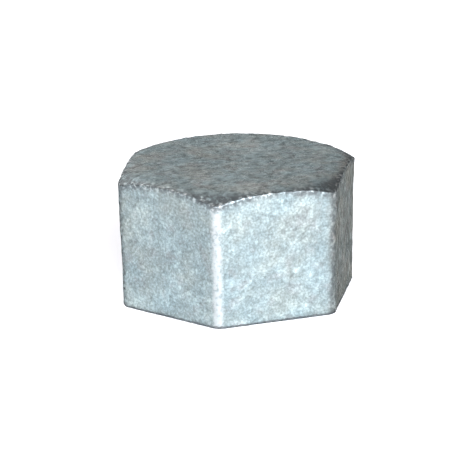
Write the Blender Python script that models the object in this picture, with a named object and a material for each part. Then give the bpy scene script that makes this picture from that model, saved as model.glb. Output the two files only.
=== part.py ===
"""Hexagonal pipe cap, one inch, female: one galvanised malleable-iron casting with a tapped blind socket.

Run it with: blender --background --python part.py

The frame: the open mouth rests on Z = 0, the closed end faces +Z, the pipe's axis is the Z axis,
and one pair of spanner flats faces -Y and +Y.
"""

import math

import bmesh
import bpy
from mathutils import Matrix, Vector

MM = 0.001  # metres

# The casting's outside
FLATS = 6
ACROSS_FLATS = 39.0 * MM  # at the closed end
DRAFT = math.radians(1.5)  # how far the flats lean in towards the mouth, as a pattern's sides do
HEIGHT = 24.0 * MM
EDGE_RADIUS = 2.0 * MM  # on the six upright edges
EDGE_STEPS = 4
CROWN_RADIUS = 19.3 * MM  # the flat circle left on the closed end
CROWN_ANGLE = math.radians(30)  # the cone round that circle, measured from its plane
FOOT_RADIUS = 0.4 * MM  # along the casting's foot, round the open mouth
FOOT_STEPS = 2

# The pipe thread: parallel, Whitworth form, eleven threads to the inch
PITCH = 25.4 * MM / 11
MAJOR_RADIUS = 33.249 * MM / 2
THREAD_DEPTH = 0.640327 * PITCH
MINOR_RADIUS = MAJOR_RADIUS - THREAD_DEPTH
FLANK_ANGLE = math.radians(27.5)
ROOT_FLAT = PITCH / 6
THREAD_LENGTH = 17.0 * MM

# The socket
SOCKET_DEPTH = 20.0 * MM
MOUTH_RADIUS = MAJOR_RADIUS + 0.4 * MM  # outer edge of the 45 degree lead-in
POCKET_RADIUS = MAJOR_RADIUS + 0.2 * MM  # cored clearance beyond the last thread
POCKET_FILLET = 1.4 * MM
FILLET_STEPS = 4

# Facets
TURNED_SEGMENTS = 96
THREAD_SEGMENTS = 64

# How far a cutter reaches past the metal that it cuts
OVERRUN = 1.0 * MM
FLANK_OVERRUN = 0.1 * MM

WELD_DISTANCE = 0.002 * MM  # closes the slivers that cuts through matching facets leave
SHARP_ANGLE = math.radians(25)  # edges bent more than this are shaded as creases

ZINC_COLOUR = (0.42, 0.46, 0.47, 1.0)
ZINC_ROUGHNESS = 0.45


def clear_scene():
    for obj in list(bpy.data.objects):
        bpy.data.objects.remove(obj)


def add_object(name, bm):
    mesh = bpy.data.meshes.new(name)
    bmesh.ops.recalc_face_normals(bm, faces=bm.faces)
    bm.to_mesh(mesh)
    bm.free()
    obj = bpy.data.objects.new(name, mesh)
    bpy.context.scene.collection.objects.link(obj)
    return obj


def add_helper(name, bm):
    """A shape that only cuts or trims another one."""
    helper = add_object(name, bm)
    helper.hide_render = True
    helper.display_type = "WIRE"
    return helper


def turned(profile, segments):
    """A closed solid of revolution about Z, from (radius, height) points that start and end on the axis."""
    bm = bmesh.new()
    points = [bm.verts.new((radius, 0.0, height)) for radius, height in profile]
    edges = [bm.edges.new(pair) for pair in zip(points, points[1:])]
    bmesh.ops.spin(
        bm,
        geom=points + edges,
        cent=Vector(),
        axis=Vector((0, 0, 1)),
        angle=math.tau,
        steps=segments,
    )
    bmesh.ops.remove_doubles(bm, verts=bm.verts, dist=0.001 * MM)
    return bm


def tapered_hexagon():
    """The body of the spanner flats, with its upright edges and its foot rounded. Flats face -Y and +Y."""
    bm = bmesh.new()
    across_corners = ACROSS_FLATS / math.cos(math.pi / FLATS)
    taper = 1 - 2 * HEIGHT * math.tan(DRAFT) / ACROSS_FLATS
    foot = bmesh.ops.create_circle(bm, cap_ends=True, segments=FLATS, radius=across_corners / 2 * taper)
    # The circle's first corner lies on Y, so a twelfth of a turn puts flats there instead.
    turn = Matrix.Rotation(math.pi / FLATS, 4, "Z")
    bmesh.ops.transform(bm, matrix=turn, verts=foot["verts"])
    raised = bmesh.ops.extrude_face_region(bm, geom=list(bm.faces))
    top = [item for item in raised["geom"] if isinstance(item, bmesh.types.BMVert)]
    bmesh.ops.scale(bm, vec=(1 / taper, 1 / taper, 1), verts=top)
    bmesh.ops.translate(bm, vec=(0, 0, HEIGHT), verts=top)
    upright = [edge for edge in bm.edges if abs(edge.verts[0].co.z - edge.verts[1].co.z) > HEIGHT / 2]
    tangent = EDGE_RADIUS * math.tan(math.pi / FLATS)  # from the sharp corner to where the rounding starts
    bmesh.ops.bevel(bm, geom=upright, offset=tangent, segments=EDGE_STEPS, profile=0.5, affect="EDGES")
    around_foot = [edge for edge in bm.edges if max(vert.co.z for vert in edge.verts) < FOOT_RADIUS]
    bmesh.ops.bevel(
        bm, geom=around_foot, offset=FOOT_RADIUS, segments=FOOT_STEPS, profile=0.5, affect="EDGES"
    )
    return bm


def crown_envelope():
    """The turned shape that trims the hexagon's six top corners back to a cone round a flat circle."""
    reach = ACROSS_FLATS / 2 / math.cos(math.pi / FLATS) + OVERRUN
    shoulder = HEIGHT - (reach - CROWN_RADIUS) * math.tan(CROWN_ANGLE)
    profile = [
        (0, -OVERRUN),
        (reach, -OVERRUN),
        (reach, shoulder),
        (CROWN_RADIUS, HEIGHT),
        (0, HEIGHT),
    ]
    return turned(profile, TURNED_SEGMENTS)


def socket_core():
    """The space inside: lead-in, thread bore, and the cored pocket with its filleted end."""
    lead_in = MOUTH_RADIUS - MINOR_RADIUS
    relief = POCKET_RADIUS - MINOR_RADIUS
    fillet = []
    for step in range(FILLET_STEPS + 1):
        angle = math.pi / 2 * step / FILLET_STEPS
        fillet.append(
            (
                POCKET_RADIUS - POCKET_FILLET * (1 - math.cos(angle)),
                SOCKET_DEPTH - POCKET_FILLET * (1 - math.sin(angle)),
            )
        )
    profile = [
        (0, -OVERRUN),
        (MOUTH_RADIUS + OVERRUN, -OVERRUN),
        (MINOR_RADIUS, lead_in),
        (MINOR_RADIUS, THREAD_LENGTH - relief / 2),
        (POCKET_RADIUS, THREAD_LENGTH + relief / 2),
        *fillet,
        (0, SOCKET_DEPTH),
    ]
    return turned(profile, THREAD_SEGMENTS)


def thread_tap():
    """The helical groove: a Whitworth trapezium swept upwards from below the mouth into the pocket."""
    half_root = ROOT_FLAT / 2
    slope = math.tan(FLANK_ANGLE)
    inner = MINOR_RADIUS - FLANK_OVERRUN
    half_inner = half_root + (MAJOR_RADIUS - inner) * slope
    section = [
        (inner - OVERRUN / 2, -half_inner),
        (inner, -half_inner),
        (MAJOR_RADIUS, -half_root),
        (MAJOR_RADIUS, half_root),
        (inner, half_inner),
        (inner - OVERRUN / 2, half_inner),
    ]
    start = -OVERRUN
    end = THREAD_LENGTH + PITCH / 2
    steps = round((end - start) / PITCH * THREAD_SEGMENTS)
    bm = bmesh.new()
    face = bm.faces.new([bm.verts.new((radius, 0.0, start + height)) for radius, height in section])
    bmesh.ops.spin(
        bm,
        geom=[face, *face.edges, *face.verts],
        cent=Vector(),
        axis=Vector((0, 0, 1)),
        dvec=Vector((0, 0, PITCH / THREAD_SEGMENTS)),
        angle=math.tau / THREAD_SEGMENTS * steps,
        steps=steps,
    )
    return bm


def galvanised_iron():
    material = bpy.data.materials.new("galvanised_iron")
    material.use_nodes = True
    shader = material.node_tree.nodes["Principled BSDF"]
    shader.inputs["Base Color"].default_value = ZINC_COLOUR
    shader.inputs["Metallic"].default_value = 1.0
    shader.inputs["Roughness"].default_value = ZINC_ROUGHNESS
    return material


def boolean(obj, operation, helper):
    modifier = obj.modifiers.new(f"{operation.lower()}_{helper.name}", "BOOLEAN")
    modifier.operation = operation
    modifier.solver = "EXACT"
    modifier.object = helper


def settle(obj):
    """Make the modifiers' result the object's own mesh, welded, and shaded smooth between its creases."""
    evaluated = obj.evaluated_get(bpy.context.evaluated_depsgraph_get())
    obj.data = bpy.data.meshes.new_from_object(evaluated)
    obj.modifiers.clear()
    bm = bmesh.new()
    bm.from_mesh(obj.data)
    bmesh.ops.remove_doubles(bm, verts=bm.verts, dist=WELD_DISTANCE)
    bm.to_mesh(obj.data)
    bm.free()
    obj.data.shade_smooth()
    obj.data.set_sharp_from_angle(angle=SHARP_ANGLE)


def build():
    clear_scene()
    casting = add_object("cap_casting", tapered_hexagon())
    casting.data.materials.append(galvanised_iron())
    boolean(casting, "INTERSECT", add_helper("crown_envelope", crown_envelope()))
    boolean(casting, "DIFFERENCE", add_helper("socket_core", socket_core()))
    boolean(casting, "DIFFERENCE", add_helper("thread_tap", thread_tap()))
    settle(casting)


build()
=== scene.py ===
"""A galvanised hexagonal pipe cap: the detailed casting, its materials, and a plain white studio."""

import math

import bmesh
import bpy
import numpy as np
from mathutils import Euler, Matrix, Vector, noise


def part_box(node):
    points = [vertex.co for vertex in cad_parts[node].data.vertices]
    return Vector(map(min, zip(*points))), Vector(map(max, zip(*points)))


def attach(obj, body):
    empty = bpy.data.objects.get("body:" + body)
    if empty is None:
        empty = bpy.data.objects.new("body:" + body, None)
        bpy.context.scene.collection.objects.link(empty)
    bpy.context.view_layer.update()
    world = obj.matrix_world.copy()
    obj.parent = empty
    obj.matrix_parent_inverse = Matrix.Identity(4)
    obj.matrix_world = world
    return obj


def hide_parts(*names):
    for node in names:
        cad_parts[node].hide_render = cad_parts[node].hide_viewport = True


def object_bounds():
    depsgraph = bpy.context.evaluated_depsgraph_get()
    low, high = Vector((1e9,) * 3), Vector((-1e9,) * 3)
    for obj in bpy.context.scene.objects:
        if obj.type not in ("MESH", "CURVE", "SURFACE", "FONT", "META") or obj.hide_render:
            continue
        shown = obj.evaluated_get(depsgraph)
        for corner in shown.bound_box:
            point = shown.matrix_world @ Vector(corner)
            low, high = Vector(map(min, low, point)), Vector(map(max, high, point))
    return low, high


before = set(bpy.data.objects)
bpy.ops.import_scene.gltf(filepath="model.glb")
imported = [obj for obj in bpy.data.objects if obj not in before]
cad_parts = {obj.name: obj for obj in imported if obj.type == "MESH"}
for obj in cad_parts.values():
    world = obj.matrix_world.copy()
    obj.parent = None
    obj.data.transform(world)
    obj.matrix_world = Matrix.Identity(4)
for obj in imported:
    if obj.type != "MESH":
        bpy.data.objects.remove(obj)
cad_low, cad_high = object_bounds()
cap_middle = (cad_low + cad_high) / 2

MM = 0.001  # the frame is in metres, and the casting is worked out in millimetres

# The casting's outside, from the frame
casting_low, casting_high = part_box("cap_casting")
ACROSS_FLATS = (casting_high.y - casting_low.y) / MM
HEIGHT = (casting_high.z - casting_low.z) / MM
FLAT_RADIUS = ACROSS_FLATS / 2
FLATS = 6
HALF_TURN = math.pi / FLATS  # from a flat's middle to a corner
DRAFT = math.radians(1.5)  # how far the flats lean in towards the mouth
CORNER_RADIUS = 2.3  # of the six upright edges
CROWN_RADIUS = 19.3  # the flat circle on the closed end
CROWN_ANGLE = math.radians(30)  # of the cone round it
CROWN_ROUNDING = 0.9  # where the flat circle meets the cone
BROW_ROUNDING = 0.18  # where the cone meets the flats
FOOT_ROUNDING = 0.25

# The socket
PITCH = 25.4 / 11
MAJOR_RADIUS = 33.249 / 2
WHITWORTH_DEPTH = 0.640327  # of the pitch
MINOR_RADIUS = MAJOR_RADIUS - WHITWORTH_DEPTH * PITCH
CREST_SHARPNESS = 0.95  # 1 would give sharp crests and roots
MOUTH_RADIUS = MAJOR_RADIUS + 0.4
THREAD_LENGTH = 17.0
THREAD_RUN_OUT = 0.5  # beyond the thread, where the wall has widened to the pocket
RUN_OUT_SLOPE = 2.0  # outwards for each millimetre up
POCKET_RADIUS = MAJOR_RADIUS + 0.2
POCKET_FILLET = 1.4
SOCKET_DEPTH = 20.0
FACING_DEPTH = 0.02  # what is cut off the rim round the mouth to make it flat

# How finely the surface is divided
CROWN_RINGS = 80
END_WALL_RINGS = CROWN_RINGS // 2
SIDE_ROWS = 80
FOOT_ROWS = 14
SOCKET_ROWS = 118
FILLET_ROWS = 8
BUNCHING = 0.4  # how much closer the rows lie beside an edge
SNAP_STEPS = 8
SNAP_NUDGE = 1e-4  # the step that a distance field's slope is measured over

# The cast and dipped skin's unevenness: one bump's size and its height, in millimetres
BUMPS = ((9.0, 0.10), (2.8, 0.06), (1.2, 0.08))
EDGE_BURRS = ((1.4, 0.12), (0.62, 0.09))  # only beside the edges
UPRIGHT_BURRS = 0.25  # their share on the upright edges
NOISE_STEP = Vector((17.0, 5.0, 9.0))  # moves each size of bump on to noise of its own
RISE_UNIT = 0.1  # the attribute "rise" is counted in these

# How far each kind of wear, painted highlight and painted shadow reaches, in millimetres
EDGE_REACH = 1.2  # burrs and flecks, the bright ones partly painted glints, from an edge
UPRIGHT_REACH = 0.7  # rubbing (on the front edge also a painted highlight) and pitting, into an upright edge's rounding
FOOT_REACH = 0.9  # the painted contact shadow, up from the foot
BEVEL_REACH = 1.2  # the darker skin of the crown's cone, as it fades in
SOILED_TURN = math.radians(60)  # the flat that is streaked brown, from -Y towards +X
SOILED_START = 0.90  # of the way out to that flat
SOILED_FADE = 0.07

# The sizes of the zinc's patterns, in millimetres
PATCHES = 6.0
STAINS = 2.6
MOTTLING = 1.7
SMUDGES = 1.6
STREAKS = 0.8
STREAK_SCALE = (1.0, 1.0, 0.4)  # draws them out up and down
FLAKES = 0.8
SPECKLES = 0.7
SKIN_GRAIN = 0.43
GRAIN_DEPTH = 0.03

# The zinc's colours
BLUE_ZINC = (0.292, 0.362, 0.374)
PLAIN_ZINC = (0.310, 0.371, 0.374)
OLIVE_ZINC = (0.330, 0.377, 0.366)
STAIN = (0.295, 0.315, 0.318)
# Rubbed zinc, which also paints the front edge's highlight and the glints along the edges
RUBBED_ZINC_AND_HIGHLIGHT = (0.44, 0.46, 0.46)
PITS = (0.125, 0.138, 0.142)
SMUDGE = (0.62, 0.61, 0.61)
BROWN = (1.01, 0.985, 0.985)
STREAK_LIGHT = (1.17, 1.05, 1.00)
STREAK_DARK = (0.62, 0.56, 0.52)
# A painted contact shadow along the foot
PAINTED_FOOT_SHADOW = (0.06, 0.06, 0.065)

# The bare iron of the tapped thread and the turned rim
DARK_IRON = (0.20, 0.19, 0.18)
PALE_IRON = (0.34, 0.33, 0.31)
TOOL_RINGS = 1.0
TOOL_RING_SCALE = (0.3, 0.3, 8.0)  # draws them out sideways, and squeezes them along the axis
TOOL_RING_DEPTH = 0.01

# The lights: azimuth and elevation in degrees, width and height in metres, power in watts, and colour
LIGHTS = {
    "key": (-18, 30, 1.0, 0.4, 24.0, (0.89, 0.93, 1.0)),
    "key_right": (8, 28, 0.4, 0.4, 9.8, (0.95, 0.96, 1.0)),
    "back_left": (-155, 45, 0.5, 0.4, 6.0, (1.0, 0.95, 0.95)),
    "back": (160, 40, 0.6, 0.4, 1.45, (1.0, 0.90, 0.88)),
}
LIGHT_DISTANCE = 1.0
ROOM_COLOUR = (1.0, 0.93, 0.88, 1.0)
ROOM_STRENGTH = 0.03

# The floor, in metres: a flat disc that curves up towards its rim
FLOOR_FLAT = 0.6
FLOOR_RADIUS = 2.2
FLOOR_RISE = 0.3
FLOOR_STEPS = 12
FLOOR_SEGMENTS = 96
FLOOR_WELD = 0.01 * MM  # joins the spun floor's ends and its middle
GLOW_START = 0.40
GLOW_FULL = 0.95
PAPER_WHITE = (0.95, 0.95, 0.95, 1.0)

# The camera, which is placed round the middle of the cap; its lens and sensor are in millimetres
VIEW_AZIMUTH = math.radians(-20.07)
VIEW_ELEVATION = math.radians(17.15)
VIEW_ROLL = math.radians(-0.97)
VIEW_DISTANCE = 0.8556
VIEW_AIM = (-0.52 * MM, -1.41 * MM)  # the aim's offset from the cap's middle, rightwards and upwards
VIEW_LENS = 370.3
SENSOR_WIDTH = 36.0
CLIP_START = 0.01


# ---------------------------------------------------------------- the casting's smooth shape


def rounded_max(a, b, radius):
    """The larger of two distance fields, with the crease between them rounded."""
    rounded = np.hypot(np.maximum(a + radius, 0), np.maximum(b + radius, 0)) - radius
    return np.where(np.minimum(a, b) > -radius, rounded, np.maximum(a, b))


def outside_fields(points):
    """How far each point is outside the flats, the crown and the foot, and past a flat's straight part."""
    x, y, z = points.T
    radius = np.hypot(x, y)
    turn = np.mod(np.arctan2(y, x), 2 * HALF_TURN) - HALF_TURN
    core = FLAT_RADIUS - CORNER_RADIUS - (HEIGHT - z) * math.tan(DRAFT)
    out = radius * np.cos(turn) - core
    past_straight = np.abs(radius * np.sin(turn)) - core * math.tan(HALF_TURN)
    flats = np.where(out > 0, np.hypot(out, np.maximum(past_straight, 0)), out) - CORNER_RADIUS
    cone = (radius - CROWN_RADIUS) * math.sin(CROWN_ANGLE) + (z - HEIGHT) * math.cos(CROWN_ANGLE)
    crown = rounded_max(z - HEIGHT, cone, CROWN_ROUNDING)
    return flats, crown, -z, past_straight


def outside_field(points):
    """How far each point is outside the casting's outer surface, zero on it."""
    flats, crown, foot, _ = outside_fields(points)
    return rounded_max(rounded_max(flats, crown, BROW_ROUNDING), foot, FOOT_ROUNDING)


def zero_to_one(values):
    """The values, held between 0 and 1."""
    return np.clip(values, 0, 1)


def wear_zones(points):
    """How much of each kind of wear, painted highlight and painted shadow there is at each point, from 0
    to 1.
    """
    flats, crown, foot, past_straight = outside_fields(points)
    x, y, z = points.T
    on_crown = zero_to_one(1 + crown / EDGE_REACH)
    on_cone = zero_to_one((np.hypot(x, y) - CROWN_RADIUS) / BEVEL_REACH + 0.5)
    uprights = zero_to_one(past_straight / UPRIGHT_REACH) * zero_to_one(1 + flats / EDGE_REACH)
    # A cosine with three crests round the cap, one of them on the front edge, picks every other edge; on
    # the front edge their rubbed zinc is also a painted highlight.
    highlit_every_other = zero_to_one(0.5 + 2 * np.cos(FLATS / 2 * (np.arctan2(x, -y) + HALF_TURN)))
    soiled_side = x * math.sin(SOILED_TURN) - y * math.cos(SOILED_TURN)
    return {
        "ends": zero_to_one(1 + np.minimum(flats, np.maximum(crown, foot)) / EDGE_REACH),
        # On the front edge, the rubbed zone also carries a painted highlight.
        "rubbed_and_highlit": uprights * highlit_every_other,
        "pitted": uprights * (1 - highlit_every_other),
        # The foot zone carries a painted contact shadow along the rim that the cap stands on.
        "foot": zero_to_one(1 - z / FOOT_REACH),
        "crown": on_crown,
        "bevel": on_cone * on_crown,
        "soiled": zero_to_one((soiled_side / FLAT_RADIUS - SOILED_START) / SOILED_FADE),
    }


def snap_outside(points):
    """Points on the sharp-edged hexagon, moved onto the rounded surface."""
    for _ in range(SNAP_STEPS):
        value = outside_field(points)
        rises = [outside_field(points + SNAP_NUDGE * axis) - value for axis in np.eye(3)]
        gradient = np.stack(rises, 1) / SNAP_NUDGE
        points = points - (value / (gradient**2).sum(1))[:, None] * gradient
    return points


def hexagon(per_side):
    """Points evenly round the sharp hexagon, from the corner on +X."""
    reach = FLAT_RADIUS / math.cos(HALF_TURN)
    points = []
    for side in range(FLATS):
        start, end = (
            np.array((math.cos(2 * HALF_TURN * corner), math.sin(2 * HALF_TURN * corner))) * reach
            for corner in (side, side + 1)
        )
        points += [start + (end - start) * step / per_side for step in range(per_side)]
    return np.array(points)


def ring(flat_points, heights):
    return np.column_stack((flat_points, np.broadcast_to(heights, len(flat_points))))


def bunched(count):
    """Shares from 0 to 1 that lie closer together towards both ends."""
    even = np.linspace(0, 1, count + 1)
    return even - BUNCHING * np.sin(2 * math.pi * even) / (2 * math.pi)


def crown_rings():
    """The closed end: rings of 6, 12, 18 points and so on, out to the edge of the flats."""
    rings = []
    for number in range(1, CROWN_RINGS + 1):
        even = number / CROWN_RINGS
        share = even + BUNCHING * math.sin(math.pi * even) / math.pi
        flat_points = hexagon(number) * share
        fall = np.maximum(np.hypot(*flat_points.T) - CROWN_RADIUS, 0) * math.tan(CROWN_ANGLE)
        rings.append(ring(flat_points, HEIGHT - fall))
    return rings


def side_rings(top):
    """The spanner flats, from the crown's last ring down to the foot."""
    rings = []
    for share in bunched(SIDE_ROWS)[1:]:
        heights = top[:, 2] * (1 - share)
        taper = 1 - (HEIGHT - heights) * math.tan(DRAFT) / FLAT_RADIUS
        rings.append(ring(top[:, :2] * taper[:, None], heights))
    return rings


def foot_rings(outer):
    """The flat face round the mouth, from the foot's edge in to the socket."""
    angles = np.arctan2(outer[:, 1], outer[:, 0])
    mouth = ring(MOUTH_RADIUS * np.column_stack((np.cos(angles), np.sin(angles))), 0.0)
    return [outer + (mouth - outer) * share for share in bunched(FOOT_ROWS)[1:]]


# ---------------------------------------------------------------- the socket


def thread_radius(angles, height):
    """The right-hand thread's wall: a triangular wave with rounded crests and roots."""
    phase = 2 * math.pi * height / PITCH - angles
    wave = np.arcsin(CREST_SHARPNESS * np.sin(phase)) / math.asin(CREST_SHARPNESS)
    return (MAJOR_RADIUS + MINOR_RADIUS) / 2 + wave * (MAJOR_RADIUS - MINOR_RADIUS) / 2


def pocket_radius(height):
    """The cored pocket beyond the thread, with its filleted end."""
    before_pocket = max(THREAD_LENGTH + THREAD_RUN_OUT - height, 0)
    run_out = POCKET_RADIUS - before_pocket * RUN_OUT_SLOPE
    into_fillet = max(height - (SOCKET_DEPTH - POCKET_FILLET), 0)
    return run_out - POCKET_FILLET + math.sqrt(max(POCKET_FILLET**2 - into_fillet**2, 0))


def socket_rings(angles):
    """The wall from the mouth up to the end wall."""
    rings = []
    around = np.column_stack((np.cos(angles), np.sin(angles)))
    even_part = np.linspace(0, SOCKET_DEPTH - POCKET_FILLET, SOCKET_ROWS + 1)[1:]
    fillet_turns = np.linspace(0, math.pi / 2, FILLET_ROWS + 1)[1:]
    fillet_part = SOCKET_DEPTH - POCKET_FILLET * (1 - np.sin(fillet_turns))
    for height in (*even_part, *fillet_part):
        lead_in = MOUTH_RADIUS - height
        wall = np.maximum(thread_radius(angles, height), max(lead_in, pocket_radius(height)))
        if height > THREAD_LENGTH + THREAD_RUN_OUT:
            wall = np.full(len(angles), pocket_radius(height))
        rings.append(ring(around * wall[:, None], height))
    return rings


def end_wall_rings(outer):
    """The socket's flat end, as rings that shrink to its middle."""
    rings = []
    for number in range(END_WALL_RINGS - 1, 0, -1):
        flat_points = hexagon(number)
        around = flat_points / np.hypot(*flat_points.T)[:, None]
        radius = np.hypot(*outer[0, :2]) * number / END_WALL_RINGS
        rings.append(ring(around * radius, SOCKET_DEPTH))
    return rings


# ---------------------------------------------------------------- the mesh


def join_disc(faces, inner_start, outer_start, number):
    """Triangles between one ring of 6 x number points and the next, which has six more."""
    inner_count, outer_count = FLATS * number, FLATS * (number + 1)
    for side in range(FLATS):
        for step in range(number + 1):
            outer = side * (number + 1) + step
            inner = (side * number + step) % max(inner_count, 1)
            after = (outer + 1) % outer_count
            faces.append((outer_start + outer, outer_start + after, inner_start + inner))
            if step < number:
                beyond = (inner + 1) % inner_count
                faces.append((outer_start + after, inner_start + beyond, inner_start + inner))


def join_equal(faces, first_start, second_start, count):
    for step in range(count):
        after = (step + 1) % count
        faces.append((first_start + step, first_start + after, second_start + after, second_start + step))


def join_halved(faces, fine_start, coarse_start, coarse_count):
    """Five-sided faces between a ring and one with half as many points."""
    for step in range(coarse_count):
        after = (step + 1) % coarse_count
        fine = [fine_start + (2 * step + k) % (2 * coarse_count) for k in range(3)]
        faces.append((*fine, coarse_start + after, coarse_start + step))


def casting_surface():
    """The whole closed surface: its points, its faces, and how many points are outside the socket."""
    crown = crown_rings()
    sides = side_rings(crown[-1])
    foot = foot_rings(sides[-1])
    inner_angles = np.arctan2(foot[-1][::2, 1], foot[-1][::2, 0])
    socket = socket_rings(inner_angles)
    end_wall = end_wall_rings(socket[-1])

    outside = np.vstack(([[0, 0, HEIGHT]], *crown, *sides, *foot))
    snapped = snap_outside(outside)
    points = np.vstack((snapped, *socket, *end_wall, [[0, 0, SOCKET_DEPTH]]))
    faces = []
    start = 0
    # The closed end, from its middle outwards
    for number in range(CROWN_RINGS):
        ring_start = start + (1 if number == 0 else FLATS * number)
        join_disc(faces, start, ring_start, number)
        start = ring_start
    # Down the flats, and in across the foot
    fine_count = FLATS * CROWN_RINGS
    for _ in (*sides, *foot):
        join_equal(faces, start, start + fine_count, fine_count)
        start += fine_count
    # Up the socket's wall, with half as many points in a ring
    coarse_count = fine_count // 2
    join_halved(faces, start, start + fine_count, coarse_count)
    start += fine_count
    for _ in socket[1:]:
        join_equal(faces, start, start + coarse_count, coarse_count)
        start += coarse_count
    # The end wall, in to its middle
    for number in range(END_WALL_RINGS - 1, -1, -1):
        ring_start = start + FLATS * (number + 1)
        join_disc(faces, ring_start, start, number)
        start = ring_start
    return points, faces, len(outside)


def unevenness(point, burred):
    """How far the skin stands out at a point, in millimetres; burred is the burrs' share there."""
    height = 0.0
    for number, (size, rise) in enumerate(BUMPS + EDGE_BURRS, start=1):
        strength = rise * burred if (size, rise) in EDGE_BURRS else rise
        height += strength * noise.noise(point / size + NOISE_STEP * number)
    return height


def add_attribute(mesh, name, values):
    layer = mesh.attributes.new(name, "FLOAT", "POINT")
    layer.data.foreach_set("value", values.astype(np.float32))


def smooth_mesh(points, faces):
    """The casting before it is roughened, as a mesh, and the way that it faces at each point."""
    mesh = bpy.data.meshes.new("cap_body")
    mesh.from_pydata(points * MM, [], faces)
    bm = bmesh.new()
    bm.from_mesh(mesh)
    bmesh.ops.recalc_face_normals(bm, faces=bm.faces)
    bm.to_mesh(mesh)
    bm.free()
    mesh.shade_smooth()
    normals = np.zeros(len(points) * 3, np.float32)
    mesh.vertex_normals.foreach_get("vector", normals)
    return mesh, normals.reshape(-1, 3)


def cast_casting():
    """The detailed casting: the smooth shape, roughened wherever no tool has cut it."""
    points, faces, outside_count = casting_surface()
    mesh, normals = smooth_mesh(points, faces)
    heights = points[:, 2]
    inside = np.arange(len(points)) >= outside_count
    tapped = inside & (heights < THREAD_LENGTH + THREAD_RUN_OUT)
    zones = wear_zones(points)
    for values in zones.values():
        values[inside] = 0
    burred = np.maximum(zones["ends"], (zones["rubbed_and_highlit"] + zones["pitted"]) * UPRIGHT_BURRS)
    rise = np.array([unevenness(Vector(point), burrs) for point, burrs in zip(points, burred)]) * ~tapped
    # The skin's bumps fade out towards the rim that the cap stands on.
    rise *= np.where(inside, 1, zero_to_one(heights / FOOT_ROUNDING))
    moved = points + normals * rise[:, None]
    moved[:, 2] = np.maximum(moved[:, 2], 0)
    mesh.vertices.foreach_set("co", (moved * MM).ravel())

    add_attribute(mesh, "rise", rise / RISE_UNIT)
    for name, values in zones.items():
        add_attribute(mesh, name, values)
    mesh.materials.append(galvanised_skin())
    mesh.materials.append(cut_iron())
    machined = (heights < FACING_DEPTH) | tapped
    second_material = [int(all(machined[corner] for corner in face.vertices)) for face in mesh.polygons]
    mesh.polygons.foreach_set("material_index", second_material)
    mesh.update()

    casting = bpy.data.objects.new("cap_body", mesh)
    bpy.context.scene.collection.objects.link(casting)
    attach(casting, "root")
    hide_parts("cap_casting")


# ---------------------------------------------------------------- materials


# The Mix node has several sockets of one name, so the ones for colours are found by their numbers.
MIX_FACTOR, MIX_A, MIX_B = 0, 6, 7
MIX_COLOUR = 2


def new_material(name):
    """A material, its node tree and its Principled shader."""
    material = bpy.data.materials.new(name)
    material.use_nodes = True
    tree = material.node_tree
    return material, tree, tree.nodes["Principled BSDF"]


def add_node(tree, kind, inputs=(), **settings):
    """A node with its settings, and with its inputs set to a value or linked to a socket."""
    node = tree.nodes.new(kind)
    for name, value in settings.items():
        setattr(node, name, value)
    for name, value in dict(inputs).items():
        if isinstance(value, bpy.types.NodeSocket):
            tree.links.new(value, node.inputs[name])
        else:
            node.inputs[name].default_value = value
    return node


def ramp(tree, factor, stops):
    """A colour ramp over factor, from (position, colour) stops."""
    node = add_node(tree, "ShaderNodeValToRGB", {"Fac": factor})
    elements = node.color_ramp.elements
    while len(elements) < len(stops):
        elements.new(1.0)
    for element, (position, colour) in zip(elements, stops):
        element.position = position
        element.color = (*colour, 1.0)
    return node.outputs["Color"]


def grey_ramp(tree, factor, stops):
    return ramp(tree, factor, [(position, (value,) * 3) for position, value in stops])


def mixed(tree, blend, factor, a, b):
    """Two colours mixed by a factor; each of the three is a value or a socket."""
    node = tree.nodes.new("ShaderNodeMix")
    node.data_type = "RGBA"
    node.blend_type = blend
    for index, value in ((MIX_FACTOR, factor), (MIX_A, a), (MIX_B, b)):
        socket = node.inputs[index]
        if isinstance(value, bpy.types.NodeSocket):
            tree.links.new(value, socket)
        elif index == MIX_FACTOR:
            socket.default_value = value
        else:
            socket.default_value = (*value, 1.0)
    return node.outputs[MIX_COLOUR]


def maths(tree, operation, a, b):
    return add_node(tree, "ShaderNodeMath", {0: a, 1: b}, operation=operation).outputs["Value"]


def object_place(tree):
    return add_node(tree, "ShaderNodeTexCoord").outputs["Object"]


def attribute(tree, name):
    """What the mesh holds at each point under this name, such as a zone of wear."""
    return add_node(tree, "ShaderNodeAttribute", attribute_name=name).outputs["Fac"]


def noise_value(tree, place, size, detail=2.0, roughness=0.5):
    """A noise whose largest features are about size millimetres across."""
    settings = {"Vector": place, "Scale": 1 / (size * MM), "Detail": detail, "Roughness": roughness}
    return add_node(tree, "ShaderNodeTexNoise", settings).outputs["Fac"]


def stretched(tree, place, scale):
    """The place, scaled along each axis: a pattern over it is squeezed above 1, drawn out below 1."""
    return add_node(tree, "ShaderNodeMapping", {"Vector": place, "Scale": scale}).outputs["Vector"]


def zinc_tint(tree, place, patches):
    """Clean zinc: blue-grey and greener patches, with greyer stains."""
    tint = ramp(tree, patches, [(0.36, BLUE_ZINC), (0.5, PLAIN_ZINC), (0.64, OLIVE_ZINC)])
    stains = noise_value(tree, place, STAINS, 3.0, 0.6)
    return mixed(tree, "MIX", grey_ramp(tree, stains, [(0.52, 0.0), (0.68, 0.6)]), tint, STAIN)


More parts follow.
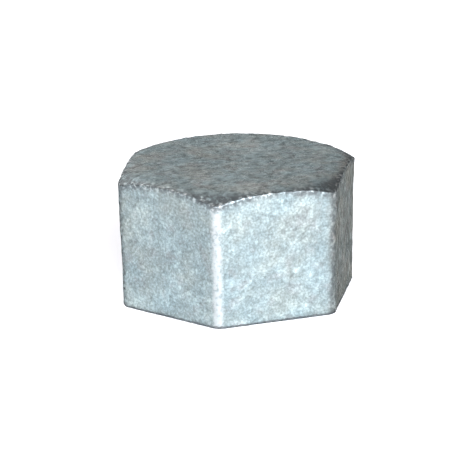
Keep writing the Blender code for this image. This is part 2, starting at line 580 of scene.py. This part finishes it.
def shade_zinc(tree, colour, place, grain):
    """The colour, darkened and lightened by the mottling, the grain and the flakes, with painted shade in
    the hollows and a painted highlight on the bumps.
    """
    over_flakes = {"Vector": place, "Scale": 1 / (FLAKES * MM)}
    flakes = add_node(tree, "ShaderNodeTexVoronoi", over_flakes)
    seams = add_node(tree, "ShaderNodeTexVoronoi", over_flakes, feature="DISTANCE_TO_EDGE")
    shades = (
        grey_ramp(tree, noise_value(tree, place, MOTTLING), [(0.3, 0.92), (0.7, 1.08)]),
        grey_ramp(tree, grain, [(0.3, 0.72), (0.5, 0.98), (0.7, 1.28)]),
        grey_ramp(tree, flakes.outputs["Color"], [(0.0, 0.90), (1.0, 1.10)]),
        grey_ramp(tree, seams.outputs["Distance"], [(0.0, 0.84), (0.12, 1.0)]),
        # Painted shade where the skin sinks in, and a painted highlight where it stands out
        grey_ramp(tree, attribute(tree, "rise"), [(0.0, 0.9), (0.5, 1.1)]),
    )
    for shade in shades:
        colour = mixed(tree, "MULTIPLY", 1.0, colour, shade)
    return colour


def soil_zinc(tree, colour, place, patches):
    """The colour, with smudges and brown patches on the closed end, and streaks on the soiled flat."""
    crown = attribute(tree, "crown")
    smudges = noise_value(tree, place, SMUDGES, 3.0, 0.65)
    smudged = maths(tree, "MULTIPLY", crown, grey_ramp(tree, smudges, [(0.36, 1.0), (0.54, 0.0)]))
    browned = maths(tree, "MULTIPLY", crown, grey_ramp(tree, patches, [(0.48, 0.0), (0.62, 1.0)]))
    colour = mixed(tree, "MULTIPLY", smudged, colour, SMUDGE)
    colour = mixed(tree, "MULTIPLY", browned, colour, BROWN)
    streaks = noise_value(tree, stretched(tree, place, STREAK_SCALE), STREAKS, 3.0, 0.65)
    streak_tint = ramp(tree, streaks, [(0.38, STREAK_DARK), (0.6, STREAK_LIGHT)])
    return mixed(tree, "MULTIPLY", attribute(tree, "soiled"), colour, streak_tint)


def wear_zinc(tree, colour, place):
    """The colour, with bright rubbed edges and flecks that are partly a painted highlight and painted
    glints, dark pits, and a painted contact shadow round the foot.
    """
    speckles = noise_value(tree, place, SPECKLES, 2.0, 0.6)
    ends = attribute(tree, "ends")
    pitted = maths(tree, "MAXIMUM", ends, attribute(tree, "pitted"))
    # For each layer: the zone it keeps to, how strongly it shows over the speckles, and its colour
    layers = (
        # Rubbed zinc on alternate upright edges and bright flecks along the edges, partly painted
        # highlight and glints
        (attribute(tree, "rubbed_and_highlit"), [(0.34, 0.2), (0.50, 0.9)], RUBBED_ZINC_AND_HIGHLIGHT),
        (ends, [(0.56, 0.0), (0.64, 0.9)], RUBBED_ZINC_AND_HIGHLIGHT),
        (pitted, [(0.40, 0.85), (0.56, 0.0)], PITS),
        (attribute(tree, "bevel"), [(0.46, 0.9), (0.62, 0.0)], PITS),
    )
    for within, strengths, layer_colour in layers:
        strength = maths(tree, "MULTIPLY", within, grey_ramp(tree, speckles, strengths))
        colour = mixed(tree, "MIX", strength, colour, layer_colour)
    # A painted contact shadow along the foot, broken up by the speckles
    foot_shadow_mask = maths(tree, "ADD", attribute(tree, "foot"), speckles)
    return mixed(tree, "MIX", grey_ramp(tree, foot_shadow_mask, [(0.94, 0.0), (1.24, 0.65)]), colour, PAINTED_FOOT_SHADOW)


def galvanised_skin():
    """Hot-dip zinc on a cast surface: mottled blue-grey, finely grained, soiled and worn."""
    material, tree, shader = new_material("galvanised_skin")
    place = object_place(tree)
    patches = noise_value(tree, place, PATCHES, 3.0, 0.6)
    grain = noise_value(tree, place, SKIN_GRAIN, 3.0, 0.6)
    colour = zinc_tint(tree, place, patches)
    colour = shade_zinc(tree, colour, place, grain)
    colour = soil_zinc(tree, colour, place, patches)
    colour = wear_zinc(tree, colour, place)
    tree.links.new(colour, shader.inputs["Base Color"])
    shader.inputs["Metallic"].default_value = 1.0
    # A black tint takes away the bright rim that clean metal shows at grazing angles.
    shader.inputs["Specular Tint"].default_value = (0.0, 0.0, 0.0, 1.0)

    roughness = add_node(
        tree,
        "ShaderNodeMapRange",
        {"Value": grain, "From Min": 0.3, "From Max": 0.7, "To Min": 0.62, "To Max": 0.50},
    )
    tree.links.new(roughness.outputs["Result"], shader.inputs["Roughness"])
    bump = add_node(tree, "ShaderNodeBump", {"Height": grain, "Distance": GRAIN_DEPTH * MM})
    tree.links.new(bump.outputs["Normal"], shader.inputs["Normal"])
    return material


def cut_iron():
    """The tapped thread and the turned rim: bare iron, darker, with the tool's fine rings."""
    material, tree, shader = new_material("cut_iron")
    rings = noise_value(tree, stretched(tree, object_place(tree), TOOL_RING_SCALE), TOOL_RINGS)
    tone = ramp(tree, rings, [(0.3, DARK_IRON), (0.7, PALE_IRON)])
    tree.links.new(tone, shader.inputs["Base Color"])
    shader.inputs["Metallic"].default_value = 1.0
    shader.inputs["Roughness"].default_value = 0.38
    bump = add_node(tree, "ShaderNodeBump", {"Height": rings, "Distance": TOOL_RING_DEPTH * MM})
    tree.links.new(bump.outputs["Normal"], shader.inputs["Normal"])
    return material


def white_paper():
    """The floor's matt white, which glows further out, so that it stays white up to the horizon."""
    material, tree, shader = new_material("white_paper")
    distance = add_node(tree, "ShaderNodeVectorMath", {0: object_place(tree)}, operation="LENGTH")
    glow = grey_ramp(tree, distance.outputs["Value"], [(GLOW_START, 0.0), (GLOW_FULL, 1.0)])
    tree.links.new(glow, shader.inputs["Emission Color"])
    shader.inputs["Emission Strength"].default_value = 1.0
    shader.inputs["Base Color"].default_value = PAPER_WHITE
    shader.inputs["Roughness"].default_value = 1.0
    shader.inputs["Specular IOR Level"].default_value = 0.0
    return material


# ---------------------------------------------------------------- studio and camera


def direction(azimuth, elevation):
    """A unit vector towards azimuth, which is 0 at -Y and turns towards +X."""
    level = math.cos(elevation)
    return Vector((math.sin(azimuth) * level, -math.cos(azimuth) * level, math.sin(elevation)))


def softbox(name, azimuth, elevation, width, height, power, colour):
    """A rectangular area light that faces the cap."""
    light = bpy.data.lights.new(name, "AREA")
    light.shape = "RECTANGLE"
    light.size = width
    light.size_y = height
    light.energy = power
    light.color = colour
    lamp = bpy.data.objects.new(name, light)
    towards = direction(math.radians(azimuth), math.radians(elevation))
    lamp.location = cap_middle + towards * LIGHT_DISTANCE
    lamp.rotation_euler = towards.to_track_quat("Z", "Y").to_euler()
    bpy.context.scene.collection.objects.link(lamp)


def paper_floor():
    """A turned dish: flat under the cap, with a rim that rises to hide the horizon."""
    mesh = bpy.data.meshes.new("floor")
    bm = bmesh.new()
    profile = [bm.verts.new((0.0, 0.0, 0.0))]
    for step in range(FLOOR_STEPS + 1):
        outwards = step / FLOOR_STEPS
        radius = FLOOR_FLAT + (FLOOR_RADIUS - FLOOR_FLAT) * outwards
        profile.append(bm.verts.new((radius, 0.0, FLOOR_RISE * outwards**2)))
    edges = [bm.edges.new(pair) for pair in zip(profile, profile[1:])]
    bmesh.ops.spin(
        bm,
        geom=profile + edges,
        cent=Vector(),
        axis=Vector((0, 0, 1)),
        angle=math.tau,
        steps=FLOOR_SEGMENTS,
    )
    bmesh.ops.remove_doubles(bm, verts=bm.verts, dist=FLOOR_WELD)
    bmesh.ops.recalc_face_normals(bm, faces=bm.faces)
    bm.to_mesh(mesh)
    bm.free()
    mesh.shade_smooth()
    mesh.materials.append(white_paper())
    floor = bpy.data.objects.new("floor", mesh)
    bpy.context.scene.collection.objects.link(floor)


def studio():
    """The floor, the room's faint light and the softboxes."""
    paper_floor()
    world = bpy.data.worlds.new("studio")
    world.use_nodes = True
    background = world.node_tree.nodes["Background"]
    background.inputs["Color"].default_value = ROOM_COLOUR
    background.inputs["Strength"].default_value = ROOM_STRENGTH
    bpy.context.scene.world = world
    for name, settings in LIGHTS.items():
        softbox(name, *settings)


def camera():
    """The view in the photo."""
    data = bpy.data.cameras.new("camera")
    data.lens = VIEW_LENS
    data.sensor_width = SENSOR_WIDTH
    data.clip_start = CLIP_START
    view = bpy.data.objects.new("camera", data)
    bpy.context.scene.collection.objects.link(view)
    back = direction(VIEW_AZIMUTH, VIEW_ELEVATION)
    facing = back.to_track_quat("Z", "Y")
    aim = facing @ Vector((*VIEW_AIM, 0.0))
    view.location = cap_middle + back * VIEW_DISTANCE
    towards_aim = (view.location - (cap_middle + aim)).to_track_quat("Z", "Y")
    view.rotation_euler = (towards_aim @ Euler((0, 0, VIEW_ROLL)).to_quaternion()).to_euler()
    bpy.context.scene.camera = view


camera()
studio()
cast_casting()
bpy.context.scene.view_settings.view_transform = "Standard"
